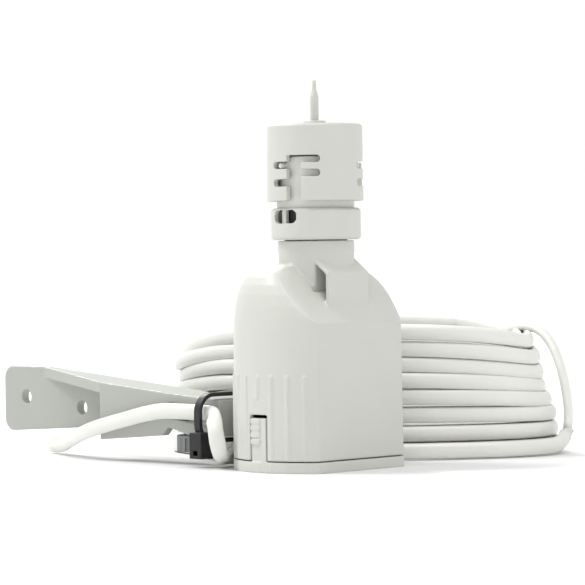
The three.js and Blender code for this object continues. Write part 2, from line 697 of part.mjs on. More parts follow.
function grommet() {
	const bore = CORD_R + GAP;
	const neck = bore + GROMMET_WALL;
	const flange = neck + GROMMET_FLANGE;
	const inside = Math.sqrt((BODY_R - WALL) ** 2 - flange ** 2) - GAP;
	const outside = BODY_R + RIB_PROUD + GAP;
	const body = turned([
		[bore, inside - GROMMET_FLANGE], [flange, inside - GROMMET_FLANGE], [flange, inside],
		[neck, inside], [neck, outside], [flange, outside], [flange - 0.4, outside + GROMMET_FLANGE],
		[bore, outside + GROMMET_FLANGE],
	], SMALL_ROUND);
	return laidAlongY(body, 0, 0, EXIT_Z);
}

function cableClamp() {
	const half = CLAMP_WIDTH / 2;
	const y0 = CLAMP_Y - CLAMP_LENGTH / 2;
	const y1 = CLAMP_Y + CLAMP_LENGTH / 2;
	const body = block(-half, half, y0, y1, SEAM_Z, CLAMP_TOP_Z);
	const bore = laidAlongY(disc(CORD_R + GAP, 0, CLAMP_LENGTH + 2), 0, y0 - 1, EXIT_Z);
	const holes = clampScrewPlaces().map(([x, y]) =>
		disc(SCREW_R + SCREW_FIT, 0, CLAMP_TOP_Z + 1).translate([x, y, 0]));
	return cut(body, [bore, ...holes]);
}

function buildCableEntry(parent) {
	addMesh(parent, 'cable_grommet', grommet(), RUBBER);
	addMesh(parent, 'cable_clamp', cableClamp(), INNER_WHITE);
	clampScrewPlaces().forEach(([x, y], i) => {
		const z = CLAMP_TOP_Z + GAP;
		addMesh(parent, `clamp_screw_${i + 1}`, screw(z - 1.6).translate([x, y, z]), STEEL);
	});
	const exitY = LEAD_ROUTE[0][1] - GAP;
	const jacket = laidAlongY(disc(CORD_R, 0, exitY - INNER_END_Y, 8), 0, INNER_END_Y, EXIT_Z);
	addMesh(parent, 'cable_inner', jacket, CABLE_WHITE);
	const firstX = SWITCH_END_X + 2;
	const lastX = SWITCH_END_X + SWITCH_LENGTH - 2;
	const endZ = SWITCH_Z - GAP - TERMINAL_LENGTH - GAP;
	const startY = INNER_END_Y - GAP;
	const left = [[-1.05, startY, EXIT_Z], [-1.6, 10, 11], [-3, 6.5, 13.5], [-4.4, 2.6, 17.5],
		[firstX, 0.4, 22.5], [firstX, 0, endZ]];
	const right = [[1.05, startY, EXIT_Z], [1.6, 10, 11], [3.2, 6.5, 13.5], [5, 3.6, 16.2],
		[8.6, 1, 19.8], [lastX, 0, endZ - 2], [lastX, 0, endZ]];
	addMesh(parent, 'core_common', tube(left, CORE_R, 8, 3), RED_CORE);
	addMesh(parent, 'core_closed', tube(right, CORE_R, 8, 3), BLACK_CORE);
}

// ---------------------------------------------------------------- neck, vent ring and cap

function sealBoot() {
	const top = SPIGOT_Z - GAP;
	const outer = LOOP_BACK - WALL - GAP;
	return washer(STEM_R + STEM_FIT, Math.min(BORE_R - GAP, outer), top - BOOT_HEIGHT, top, ROUND / 2);
}

function ventSleeve() {
	const spigotR = BORE_R - GAP;
	const collarR = LIP_R - GAP;
	const shoulderZ = RING_Z + RING_LIP + GAP;
	const bore = SLEEVE_BORE_R;
	const guide = STEM_R + STEM_FIT;
	const body = turned([
		[guide, RING_Z], [spigotR - SPIGOT_WALL, RING_Z], [spigotR - SPIGOT_WALL, SPIGOT_Z], [spigotR, SPIGOT_Z],
		[spigotR, RING_Z], [collarR, RING_Z], [collarR, shoulderZ], [SLEEVE_R, shoulderZ],
		[SLEEVE_R, SLEEVE_TOP_Z], [bore, SLEEVE_TOP_Z], [bore, SHELF_TOP_Z], [guide, SHELF_TOP_Z],
	]);
	const windowTop = RING_TOP_Z - WINDOW_DROP;
	const windowZ = windowTop - WINDOW_HEIGHT / 2;
	const vents = [];
	for (let i = 0; i < VENT_COUNT; i++) {
		const vent = block(bore - 0.8, SLEEVE_R + 1, -VENT_WIDTH / 2, VENT_WIDTH / 2,
			windowZ - VENT_HEIGHT / 2, windowZ + VENT_HEIGHT / 2);
		vents.push(vent.rotate([0, 0, VENT_DEG + i * 360 / VENT_COUNT]));
	}
	const pegs = [];
	for (let i = 0; i < KEYS; i++) {
		const peg = disc(PEG_R, SLEEVE_R - 0.7, CAP_R - 0.5, 12);
		pegs.push(laidOutward(peg, PEG_DEG + i * 360 / KEYS, PEG_Z));
	}
	return joined([cut(body, vents), ...pegs]);
}

function ventRing() {
	const edge = 0.7;
	const inner = SLEEVE_R + GAP;
	const lipTop = RING_Z + RING_LIP;
	const body = turned([
		[LIP_R, RING_Z], [RING_R - edge, RING_Z], [RING_R, RING_Z + edge], [RING_R, RING_TOP_Z - edge],
		[RING_R - edge, RING_TOP_Z], [inner, RING_TOP_Z], [inner, lipTop], [LIP_R, lipTop],
	]);
	const windowZ = RING_TOP_Z - WINDOW_DROP - WINDOW_HEIGHT / 2;
	const cutters = [];
	for (let i = 0; i < RING_WINDOWS; i++) {
		const shape = roundedOutline(WINDOW_WIDTH, WINDOW_HEIGHT, WINDOW_HEIGHT / 2 - 0.1);
		const bar = widened(shape, inner - 3, RING_R + 2, 6);
		cutters.push(bar.rotate([0, 0, WINDOW_DEG + i * 360 / RING_WINDOWS]).translate([0, 0, windowZ]));
	}
	return cut(body, cutters);
}

function levelSlot(z, centreDeg, side) {
	const endDeg = SLOT_REACH_DEG - (SLOT_H / 2 / CAP_R) * (180 / Math.PI);
	const from = side > 0 ? centreDeg : centreDeg - endDeg;
	const to = side > 0 ? centreDeg + endDeg : centreDeg;
	const arc = sector(CAP_INNER_R - 0.3, CAP_R + 2, from, to, z - SLOT_H / 2, z + SLOT_H / 2);
	const end = disc(SLOT_H / 2, CAP_INNER_R - 1, CAP_R + 2, 12);
	return arc.add(laidOutward(end, centreDeg + side * endDeg, z));
}

function slotGroup(centreDeg) {
	const top = CAP_Z + SLOTS_RIGHT[0] + SLOT_H / 2;
	const upright = sector(CAP_INNER_R - 0.3, CAP_R + 2, centreDeg - SLOT_HALF_DEG, centreDeg + SLOT_HALF_DEG,
		CAP_Z - 1, top);
	return [
		upright,
		...SLOTS_RIGHT.map((rise) => levelSlot(CAP_Z + rise, centreDeg, 1)),
		...SLOTS_LEFT.map((rise) => levelSlot(CAP_Z + rise, centreDeg, -1)),
	];
}

function sensorCap() {
	const edge = 0.6;
	const bore = SPINDLE_R + SPINDLE_FIT;
	const roofZ = CAP_TOP_Z - CAP_ROOF;
	const body = turned([
		[CAP_INNER_R, CAP_Z], [CAP_R + CAP_FLARE, CAP_Z], [CAP_R, CAP_TOP_Z - edge], [CAP_R - edge, CAP_TOP_Z],
		[CAP_BOSS_R, CAP_TOP_Z], [CAP_BOSS_R - 0.4, CAP_TOP_Z + CAP_BOSS_H], [bore, CAP_TOP_Z + CAP_BOSS_H],
		[bore, roofZ], [CAP_INNER_R, roofZ],
	]);
	const cutters = [];
	for (let i = 0; i < KEYS; i++) {
		cutters.push(...slotGroup(SLOT_DEG + i * 360 / KEYS));
	}
	return cut(body, cutters);
}

// ---------------------------------------------------------------- disc stack, spindle and plunger

function testSpindle() {
	const foot = SOCKET_Z + GAP;
	const shaft = turned([
		[0, foot], [SPINDLE_R, foot], [SPINDLE_R, SPINDLE_NECK_Z], [SPINDLE_TIP_R + 0.1, SPINDLE_NECK_Z + 2.1],
		[SPINDLE_TIP_R, SPINDLE_TOP_Z], [0, SPINDLE_TOP_Z],
	], 16);
	return shaft;
}

function plunger() {
	const top = FLANGE_Z + FLANGE_T;
	const socket = SPINDLE_R + GAP;
	return turned([
		[0, STEM_END_Z], [STEM_R, STEM_END_Z], [STEM_R, SOCKET_Z - 1.2], [HUB_R, SOCKET_Z - 1.2],
		[HUB_R, FLANGE_Z], [FLANGE_R, FLANGE_Z], [FLANGE_R, top], [socket, top], [socket, SOCKET_Z], [0, SOCKET_Z],
	], 36);
}

function insectScreen() {
	const outer = SLEEVE_BORE_R - GAP;
	return washer(outer - SCREEN_T, outer, SHELF_TOP_Z + GAP, RING_TOP_Z + SCREEN_RISE, ROUND);
}

function returnSpring() {
	const foot = SHELF_TOP_Z + GAP + SPRING_WIRE_R;
	const head = FLANGE_Z - GAP - SPRING_WIRE_R;
	const points = [];
	const perTurn = 8;
	for (let i = 0; i <= SPRING_TURNS * perTurn; i++) {
		const share = i / (SPRING_TURNS * perTurn);
		const angle = share * SPRING_TURNS * Math.PI * 2;
		points.push([SPRING_R * Math.cos(angle), SPRING_R * Math.sin(angle), foot + share * (head - foot)]);
	}
	return tube(points, SPRING_WIRE_R, 6, 1.5);
}

function buildStack(parent) {
	addMesh(parent, 'test_spindle', testSpindle(), WHITE);
	addMesh(parent, 'plunger', plunger(), INNER_WHITE);
	addMesh(parent, 'return_spring', returnSpring(), STEEL);
	addMesh(parent, 'insect_screen', insectScreen(), DARK);
	const hole = SPINDLE_R + SPINDLE_FIT;
	for (let i = 0; i < DISC_COUNT; i++) {
		const mesh = addMesh(parent, `hygroscopic_disc_${i + 1}`, washer(hole, DISC_R, 0, DISC_T, 36), DISC_TAN);
		mesh.position.z = STACK_Z + i * DISC_PITCH;
	}
	const washerZ = STACK_Z + DISC_COUNT * DISC_PITCH;
	addMesh(parent, 'top_washer', washer(hole, DISC_R, washerZ, washerZ + TOP_WASHER_T, 36), STEEL);
}

// ---------------------------------------------------------------- bracket, thumb screw and tie

function bracketTop(y) {
	return BR_TOP_Z + (Math.min(y, BR_KNEE_Y) - BR_START_Y) * BR_TOP_RISE;
}

// back plate, the tall one, with its two far corners rounded
function backPlate() {
	const top = bracketTop(BR_END_Y);
	const shape = new THREE.Shape();
	shape.moveTo(LEG_NEAR_Y, bracketTop(LEG_NEAR_Y));
	shape.lineTo(BR_KNEE_Y, top);
	shape.lineTo(BR_END_Y - BR_CORNER, top);
	shape.absarc(BR_END_Y - BR_CORNER, top - BR_CORNER, BR_CORNER, Math.PI / 2, 0, true);
	shape.lineTo(BR_END_Y, BR_PADDLE_Z + BR_CORNER);
	shape.absarc(BR_END_Y - BR_CORNER, BR_PADDLE_Z + BR_CORNER, BR_CORNER, 0, -Math.PI / 2, true);
	shape.lineTo(LEG_NEAR_Y, TONGUE_Z + 3);
	const plate = widened(shape, BR_BACK_X - BR_PLATE, BR_BACK_X, 6);
	const holes = PLATE_HOLES.map(({ along, z }) => {
		const hole = disc(PLATE_HOLE_R, -BR_PLATE, BR_PLATE).rotate([0, 90, 0]);
		return hole.translate([BR_BACK_X - BR_PLATE / 2, BR_START_Y + along, z]);
	});
	return cut(plate, holes);
}

function frontLeg() {
	const shape = outline([
		[LEG_NEAR_Y, bracketTop(LEG_NEAR_Y)], [LEG_FAR_Y, bracketTop(LEG_FAR_Y)], [LEG_FAR_Y, LEG_FAR_Z],
		[LEG_NEAR_Y + LEG_CHAMFER, LEG_NEAR_Z], [LEG_NEAR_Y, LEG_NEAR_Z + LEG_CHAMFER],
	]);
	return widened(shape, BR_X, BR_X + BR_PLATE);
}

// web over the throat, running out to nothing along the back plate
function topWeb() {
	const plan = outline([
		[BR_X, LEG_NEAR_Y], [BR_BACK_X, LEG_NEAR_Y], [BR_BACK_X, BR_KNEE_Y], [BR_BACK_X - BR_PLATE, BR_KNEE_Y],
		[BR_X, LEG_FAR_Y],
	]);
	const band = outline([
		[LEG_NEAR_Y, bracketTop(LEG_NEAR_Y)], [BR_KNEE_Y, bracketTop(BR_KNEE_Y)],
		[BR_KNEE_Y, bracketTop(BR_KNEE_Y) - BR_WEB], [LEG_NEAR_Y, bracketTop(LEG_NEAR_Y) - BR_WEB],
	]);
	return raised(plan, 0, 60).intersect(widened(band, BR_X, BR_BACK_X));
}

// tapered arm with a sunk panel on each side
function tongue() {
	const endY = PANEL_END_Y + 2;
	const tip = TONGUE_TIP_X;
	const half = TONGUE_WIDTH / 2;
	const plan = outline([
		[tip - half, BR_START_Y], [tip + half, BR_START_Y], [BR_BACK_X, LEG_NEAR_Y], [BR_BACK_X, endY],
		[BR_X, endY], [BR_X, LEG_NEAR_Y],
	]);
	const rootZ = LEG_NEAR_Z + LEG_CHAMFER;
	const side = outline([
		[BR_START_Y, bracketTop(BR_START_Y)], [endY, bracketTop(endY)], [endY, rootZ], [LEG_NEAR_Y, rootZ],
		[THUMB_Y - THUMB_HEAD_R - 1.5, TONGUE_Z], [BR_START_Y, TONGUE_Z],
	]);
	const body = raised(plan, 0, 60).intersect(widened(side, BR_X, BR_BACK_X));
	const panel = outline([
		[PANEL_START_Y, bracketTop(PANEL_START_Y) - PANEL_BAR],
		[PANEL_END_Y, bracketTop(PANEL_END_Y) - PANEL_BAR],
		[PANEL_END_Y, rootZ + PANEL_BAR],
		[LEG_NEAR_Y, rootZ + PANEL_BAR - 0.4],
		[PANEL_START_Y, TONGUE_Z + PANEL_BAR],
	]);
	const outer = widened(panel, BR_X - 1, BR_X + PANEL_DEPTH);
	const inner = widened(panel, BR_BACK_X - PANEL_DEPTH, BR_BACK_X + 1);
	return cut(body, [outer, inner]);
}

function thumbHole() {
	const shank = disc(THUMB_SHANK_R + GAP, 0, THUMB_SHANK_TOP_Z + GAP);
	const nutTop = THUMB_SHANK_TOP_Z - 1;
	const pocket = disc(NUT_R + GAP, nutTop - NUT_H - GAP, nutTop + GAP, 6);
	const mouth = block(0, 20, -NUT_R, NUT_R, nutTop - NUT_H - GAP, nutTop + GAP);
	return [shank, pocket, mouth].map((piece) => piece.translate([THUMB_X, THUMB_Y, 0]));
}

function mountingBracket() {
	return cut(joined([backPlate(), frontLeg(), topWeb(), tongue()]), thumbHole());
}

function thumbScrew() {
	const top = THUMB_HEAD_Z + THUMB_HEAD_H;
	const head = disc(THUMB_HEAD_R, THUMB_HEAD_Z, top, 36);
	const flutes = [];
	for (let i = 0; i < 12; i++) {
		const flute = disc(0.45, THUMB_HEAD_Z - 1, top - 0.8, 8).translate([THUMB_HEAD_R + 0.1, 0, 0]);
		flutes.push(flute.rotate([0, 0, i * 30]));
	}
	const shank = disc(THUMB_SHANK_R, top - 0.5, THUMB_SHANK_TOP_Z, 16);
	return joined([cut(head, flutes), shank]).translate([THUMB_X, THUMB_Y, 0]);
}

function captiveNut() {
	const top = THUMB_SHANK_TOP_Z - 1;
	const hex = disc(NUT_R, top - NUT_H, top, 6);
	return cut(hex, [disc(THUMB_SHANK_R + GAP, top - NUT_H - 1, top + 1)]).translate([THUMB_X, THUMB_Y, 0]);
}

function cableTie() {
	const left = TIE_CORD_X - CORD_R - GAP - 0.6;
	const taper = (TIE_Y + TIE_WIDTH / 2 - BR_START_Y) / (LEG_NEAR_Y - BR_START_Y);
	const edge = TONGUE_TIP_X + TONGUE_WIDTH / 2;
	const right = edge + taper * (BR_BACK_X - edge) + GAP + 0.3;
	const low = TONGUE_Z - GAP - 0.2;
	const high = bracketTop(TIE_Y) + GAP + 0.6;
	const width = right - left;
	const height = high - low;
	const t = TIE_BAND;
	const ring = roundedOutline(width + 2 * t, height + 2 * t, TIE_CORNER + t, TIE_BEND + t);
	ring.holes.push(roundedOutline(width, height, TIE_CORNER, TIE_BEND));
	const y0 = TIE_Y - TIE_WIDTH / 2;
	const band = deepened(ring, y0, y0 + TIE_WIDTH, 6).translate([(left + right) / 2, 0, (low + high) / 2]);
	const { x, z, w, d, h } = TIE_HEAD;
	const head = block(x - w / 2, x + w / 2, TIE_Y - d / 2, TIE_Y + d / 2, z - h / 2, z + h / 2);
	const slot = block(x - w, x + w, TIE_Y - 0.9, TIE_Y + 0.9, z - 2.9, z - 1.4);
	return band.add(cut(head, [slot]));
}

function buildBracket(parent) {
	addMesh(parent, 'mounting_bracket', mountingBracket(), WHITE);
	addMesh(parent, 'thumb_screw', thumbScrew(), STEEL);
	addMesh(parent, 'captive_nut', captiveNut(), STEEL);
}

// ---------------------------------------------------------------- coil and cable

function coil() {
	const turn = rad(COIL_TURN_DEG);
	const shape = new THREE.Shape();
	shape.absellipse(0, 0, COIL_LONG, COIL_SHORT, 0, Math.PI * 2, false, 0);
	const hole = new THREE.Path();
	hole.absellipse(0, 0, COIL_LONG - COIL_BAND, COIL_SHORT - COIL_BAND, 0, Math.PI * 2, true, 0);
	shape.holes.push(hole);
	return raised(shape, 0.1, COIL_HEIGHT, 40).rotate([0, 0, THREE.MathUtils.radToDeg(turn)])
		.translate([COIL_X, COIL_Y, 0]);
}

// ---------------------------------------------------------------- assembly

addMesh(group, 'housing', housing(), WHITE);
addMesh(group, 'base_cover', baseCover(), WHITE);
buildSwitch(group);
buildCableEntry(group);
addMesh(group, 'seal_boot', sealBoot(), RUBBER);
addMesh(group, 'vent_sleeve', ventSleeve(), INNER_WHITE);
addMesh(group, 'vent_ring', ventRing(), WHITE);
addMesh(group, 'sensor_cap', sensorCap(), WHITE);
buildStack(group);
buildBracket(group);
addMesh(group, 'cable_tie', cableTie(), DARK);
addMesh(group, 'cable_lead', tube(LEAD_ROUTE, CORD_R, 8, 1), CABLE_WHITE);
addMesh(group, 'cable_coil', coil(), CABLE_WHITE);
addMesh(group, 'cable_tail', tube(TAIL_ROUTE, CORD_R, 8, 1), CABLE_WHITE);

export default group;
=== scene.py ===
"""Looks for the wired rain sensor: softened copies of the moulded CAD nodes, one swept flat cable,
procedural plastics, metals and rubber, a pale studio and the camera."""

import json
import math

import bmesh
import bpy
import numpy as np
from mathutils import Matrix, Vector


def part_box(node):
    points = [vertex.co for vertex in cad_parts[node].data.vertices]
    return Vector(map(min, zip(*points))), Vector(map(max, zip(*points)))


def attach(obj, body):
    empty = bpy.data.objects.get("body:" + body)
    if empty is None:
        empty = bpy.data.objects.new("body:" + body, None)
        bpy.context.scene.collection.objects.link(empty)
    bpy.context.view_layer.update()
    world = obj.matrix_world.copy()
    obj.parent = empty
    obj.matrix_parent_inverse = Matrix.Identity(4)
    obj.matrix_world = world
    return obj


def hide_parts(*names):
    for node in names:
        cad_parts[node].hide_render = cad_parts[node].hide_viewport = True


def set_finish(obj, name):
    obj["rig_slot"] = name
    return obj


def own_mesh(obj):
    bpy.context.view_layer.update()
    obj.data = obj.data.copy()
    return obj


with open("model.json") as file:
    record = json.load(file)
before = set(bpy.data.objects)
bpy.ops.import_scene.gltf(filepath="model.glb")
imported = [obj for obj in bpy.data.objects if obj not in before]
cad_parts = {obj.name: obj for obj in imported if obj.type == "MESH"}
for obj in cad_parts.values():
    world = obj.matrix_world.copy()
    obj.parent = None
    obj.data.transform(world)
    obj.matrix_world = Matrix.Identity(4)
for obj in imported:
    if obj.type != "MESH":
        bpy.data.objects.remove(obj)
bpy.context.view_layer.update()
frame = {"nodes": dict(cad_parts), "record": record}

MM = 0.001

# ---------------------------------------------------------------- sizes, in millimetres

CABLE_WIDTH = 4.7  # width that is drawn, which leaves the gaps between layers
CABLE_THICK = 2.8
CABLE_CORNER_POWER = 2.05  # superellipse exponent of the flat section
SECTION_POINTS = 14

COIL_COLUMNS = 3
COIL_LAYERS = 8
COIL_PITCH = 5.2
COIL_END_PITCH = 4.55  # between layers at the coil's near end
COIL_FAR_PITCH = 4.1  # and at its far end, where the layers sit staggered
COIL_FAR_STAGGER = 1.55  # every other layer there sits this much further in
COIL_COLUMN_STEP = 3.1
COIL_LONG_DEG = -60
COIL_START_DEG = -131
COIL_LEAVE_TURN = 0.47  # share of the last turn wound before the cable climbs out
COIL_END_INSET = 1.25  # each layer sits this much further in at the coil's near end
COIL_FAR_INSET = 0.35  # and at its far end
COIL_SWAY = 0.9  # how far a layer wanders in and out
COIL_WAVE = 0.6  # and up and down
COIL_CLIMB_FROM = 0.84  # share of a turn after which the cable climbs to the next layer
COIL_FLOOR_ROOM = 0.2  # below the lowest layer
COIL_SIDE_ROOM = 0.1  # outside the outer column
COIL_LEAN = 0.3  # how far the cable leans in at the coil's ends
COIL_END_SHARPNESS = 3  # power that keeps the ends' shaping near the ends
TURN_STEPS = 96

CAMERA_DISTANCE = 840
CAMERA_AZIMUTH = -45
CAMERA_HEIGHT = 63.2
CAMERA_YAW = 0.48  # degrees to the left of the housing's axis
CAMERA_PITCH = 0.84
CAMERA_ROLL = 0.75
CAMERA_LENS = 178.4
CAMERA_SENSOR = 36

# the housing's dome and front slope, whose meeting edge is moulded soft
DOME_FOOT_Z = 36
DOME_START_R = 12
DOME_ACROSS = 12.3
DOME_UP = 22.6
DOME_POWER = 2.9
SLOPE_FOOT = (-17.4, 42)
SLOPE_DEG = 47
CREASE_BLEND = 3.2
CREASE_SKIN = 0.5  # points this far off the dome and slope stay put
CREASE_SKIN_FADE = 0.2
CREASE_RISE = 6  # height above the slope's foot where the blend is full
CREASE_NECK_ROOM = 2.5  # outside the dome's start, where the blend begins
CREASE_NECK_FADE = 3

FRONT_MARGIN = 0.4  # points this close to the flat front aren't rounded
KEPT_FACES = 0.3  # share of a remeshed copy's faces

FLOOR_HALF = 30000
FLOOR_TONE = 0.8
HORIZON_END = 0.14  # upward share of a direction where the horizon's light begins to dim
SKY_START = 0.3  # and where the sky's light is reached
MOTTLE_SCALE = 70
HORIZON_LIGHT = 1.0
SKY_LIGHT = 0.72

# name, direction towards it as ahead, right and up, strength, apparent size in degrees
SUNS = [
    ("key", (0.1, -0.6, 0.79), 1.7, 20),
    ("back", (0.75, -0.25, 0.61), 1.3, 12),
    ("top", (-0.3, 0.15, 0.94), 1.0, 30),
]

UP = (0, 0, 1)

# x, y, z and the direction across the cable's width, for the stretch from the grommet to the coil
LEAD_POINTS = [
    (0, 27.6, 10.5, UP), (0, 30.5, 10.3, UP), (0.2, 34, 9.4, UP), (0.8, 38, 7.7, UP),
    (1.8, 42.5, 5.7, UP), (3.2, 47, 4.1, UP), (5, 51.5, 3.1, UP), (7.2, 56, 2.8, UP),
]

# the stretch from the top of the coil, down its right end, round the housing and through the tie
TAIL_POINTS = [
    (92.6, 10.5, 37.2, (0.4, 0, 0.9)), (92.6, 5, 38.2, (0.8, 0.1, 0.5)),
    (92.7, -0.5, 38.4, (1, 0.2, 0.1)), (92.8, -5.6, 36.9, (1, 0.3, 0)),
    (92.4, -10.4, 32.6, (1, 0.4, 0)), (91.6, -14.4, 26, (0.95, 0.45, 0)),
    (90.4, -17.4, 19, (0.9, 0.5, 0)), (88.6, -19.8, 12.4, (0.85, 0.5, 0.1)),
    (85.6, -21.6, 6.8, (0.5, 0.25, 0.6)), (81, -22.6, 3.5, (0.15, 0.1, 0.9)), (75, -23, 2.8, UP),
    (64.6, -21.2, 2.7, UP), (55.8, -17.8, 2.7, UP), (46.7, -12, 2.7, UP), (38.5, -5.8, 2.7, UP),
    (31.6, 0.6, 2.7, UP), (27.9, 6.8, 2.7, UP), (24.6, 13, 2.7, UP), (20.5, 18.5, 2.7, UP),
    (15, 23.4, 2.7, UP), (8, 26.7, 2.7, UP), (0.5, 27.9, 2.7, UP), (-7, 27, 2.7, (0.1, 0.2, 0.95)),
    (-13.6, 24.2, 2.8, (0.25, -0.4, 0.85)), (-19, 20.4, 3, (0.45, -0.75, 0.4)),
    (-23.2, 17.2, 4.8, (0.6, -0.8, 0)), (-25.1, 16.2, 8.4, (0.75, -0.65, 0)),
    (-24.8, 17.3, 12, (0.95, -0.3, 0.1)), (-22.4, 20.4, 14.6, (0.8, 0, 0.6)),
    (-19.2, 24, 15.6, (0.3, 0, 0.95)), (-17.8, 28.2, 15.8, UP), (-17.9, 33, 15.9, UP),
    (-18.8, 39, 16, UP), (-19.8, 46, 15.9, UP), (-20, 54, 14.7, UP), (-20, 62, 13, UP),
    (-19.9, 70, 11.3, UP), (-19.6, 78, 9.4, UP), (-17.6, 86, 7.4, UP), (-14.6, 93.5, 5.5, UP),
    (-11.3, 100.5, 3.9, UP), (-8.5, 107, 2.9, UP), (-5.9, 113.5, 2.6, UP),
]

# softened copies of CAD nodes: node, body, sides of its turned surfaces, voxel, smoothing passes
SOFTENED = [
    ("housing", "frame", 60, 0.30, 4),
    ("base_cover", "frame", 60, 0.28, 2),
    ("vent_sleeve", "frame", 60, 0.22, 2),
    ("vent_ring", "ring", 60, 0.16, 3),
    ("sensor_cap", "cap", 60, 0.18, 3),
    ("test_spindle", "spindle", 16, 0.10, 2),
    ("plunger", "spindle", 36, 0.22, 2),
    ("mounting_bracket", "frame", 0, 0.30, 4),
    ("cable_tie", "frame", 0, 0.14, 3),
    ("thumb_screw", "thumb", 0, 0.12, 2),
    ("cable_clamp", "frame", 0, 0.22, 2),
    ("switch_case", "frame", 0, 0.16, 3),
    ("switch_carrier", "frame", 0, 0.22, 2),
]


# ---------------------------------------------------------------- mesh helpers

def link(name, mesh):
    """A new object holding this mesh, in the scene."""
    obj = bpy.data.objects.new(name, mesh)
    bpy.context.scene.collection.objects.link(obj)
    return obj


def applied(obj):
    """The object's mesh with its modifiers applied."""
    graph = bpy.context.evaluated_depsgraph_get()
    mesh = bpy.data.meshes.new_from_object(obj.evaluated_get(graph))
    old = obj.data
    obj.modifiers.clear()
    obj.data = mesh
    bpy.data.meshes.remove(old)
    return mesh


def coordinates(mesh):
    values = np.zeros(len(mesh.vertices) * 3)
    mesh.vertices.foreach_get("co", values)
    return values.reshape(-1, 3)


def set_coordinates(mesh, values):
    mesh.vertices.foreach_set("co", values.ravel())
    mesh.update()


def shade(mesh, sharp_degrees=40):
    mesh.polygons.foreach_set("use_smooth", [True] * len(mesh.polygons))
    mesh.set_sharp_from_angle(angle=math.radians(sharp_degrees))


def rounded_sides(points, sides):
    """Moves points of a many-sided turned surface out to the circle round it."""
    half = math.pi / sides
    angle = np.arctan2(points[:, 1], points[:, 0])
    off_centre = np.mod(angle, 2 * half) - half
    factor = np.cos(off_centre) / math.cos(half)
    on_flat = points[:, 1] < front_y + FRONT_MARGIN
    factor[on_flat] = 1
    rounded = points.copy()
    rounded[:, 0] *= factor
    rounded[:, 1] *= factor
    return rounded


def soft_crease(points):
    """Blends the edge where the housing's front slope cuts its dome."""
    radius = np.hypot(points[:, 0], points[:, 1])
    u = np.maximum(radius - DOME_START_R, 1e-6) / DOME_ACROSS
    v = np.maximum(points[:, 2] - DOME_FOOT_Z, 1e-6) / DOME_UP
    rho = (u ** DOME_POWER + v ** DOME_POWER) ** (1 / DOME_POWER)
    du = (u / rho) ** (DOME_POWER - 1) / DOME_ACROSS
    dv = (v / rho) ** (DOME_POWER - 1) / DOME_UP
    slant = np.hypot(du, dv)
    from_dome = (rho - 1) / slant
    out_x = points[:, 0] / np.maximum(radius, 1e-6) * du / slant
    out_y = points[:, 1] / np.maximum(radius, 1e-6) * du / slant
    out_z = dv / slant
    sine = math.sin(math.radians(SLOPE_DEG))
    cosine = math.cos(math.radians(SLOPE_DEG))
    from_slope = -(points[:, 1] - SLOPE_FOOT[0]) * sine + (points[:, 2] - SLOPE_FOOT[1]) * cosine
    share = np.maximum(CREASE_BLEND - np.abs(from_dome - from_slope), 0) / CREASE_BLEND
    off_skin = np.abs(np.maximum(from_dome, from_slope))
    on_skin = np.clip((CREASE_SKIN - off_skin) / CREASE_SKIN_FADE, 0, 1)
    above = np.clip((points[:, 2] - SLOPE_FOOT[1]) / CREASE_RISE, 0, 1)
    outside = np.clip((radius - DOME_START_R - CREASE_NECK_ROOM) / CREASE_NECK_FADE, 0, 1)
    drop = share ** 2 * CREASE_BLEND / 4 * on_skin * above * outside
    blend = np.clip(0.5 + 0.5 * (from_dome - from_slope) / CREASE_BLEND, 0, 1)
    moved = points.copy()
    moved[:, 0] -= drop * out_x * blend
    moved[:, 1] -= drop * (out_y * blend - sine * (1 - blend))
    moved[:, 2] -= drop * (out_z * blend + cosine * (1 - blend))
    return moved


def softened(node, body, sides, voxel, passes):
    """A copy of a CAD node with softened edges and round sides, which stands for it."""
    source = frame["nodes"][node]
    mesh = source.data.copy()
    mesh.transform(Matrix.Scale(1 / MM, 4))
    obj = link(node + "_skin", mesh)
    remesh = obj.modifiers.new("remesh", "REMESH")
    remesh.mode = "VOXEL"
    remesh.voxel_size = voxel
    smooth = obj.modifiers.new("smooth", "SMOOTH")
    smooth.factor = 0.5
    smooth.iterations = passes
    mesh = applied(obj)
    if sides:
        set_coordinates(mesh, rounded_sides(coordinates(mesh), sides))
    if node == "housing":
        set_coordinates(mesh, soft_crease(coordinates(mesh)))
    reduce = obj.modifiers.new("reduce", "DECIMATE")
    reduce.ratio = KEPT_FACES
    mesh = applied(obj)
    mesh.transform(Matrix.Scale(MM, 4))
    shade(mesh)
    mesh.materials.clear()
    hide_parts(node)
    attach(obj, body)
    return obj


def pressed_spring():
    """A copy of the return spring, shaded smooth and carried with the frame."""
    spring = link("return_spring_skin", frame["nodes"]["return_spring"].data.copy())
    shade(spring.data)
    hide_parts("return_spring")
    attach(spring, "frame")
    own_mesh(spring)
    return spring


# ---------------------------------------------------------------- cable

def ellipse_point(long_half, short_half, degrees):
    """A point on the coil's oval, in the row frame's X and Y."""
    t = math.radians(degrees)
    along = long_half * math.cos(t)
    across = short_half * math.sin(t)
    turn = math.radians(COIL_LONG_DEG)
    x = coil_centre.x + along * math.cos(turn) - across * math.sin(turn)
    y = coil_centre.y + along * math.sin(turn) + across * math.cos(turn)
    return x, y


def eased(share):
    share = min(1.0, max(0.0, share))
    return share * share * (3 - 2 * share)


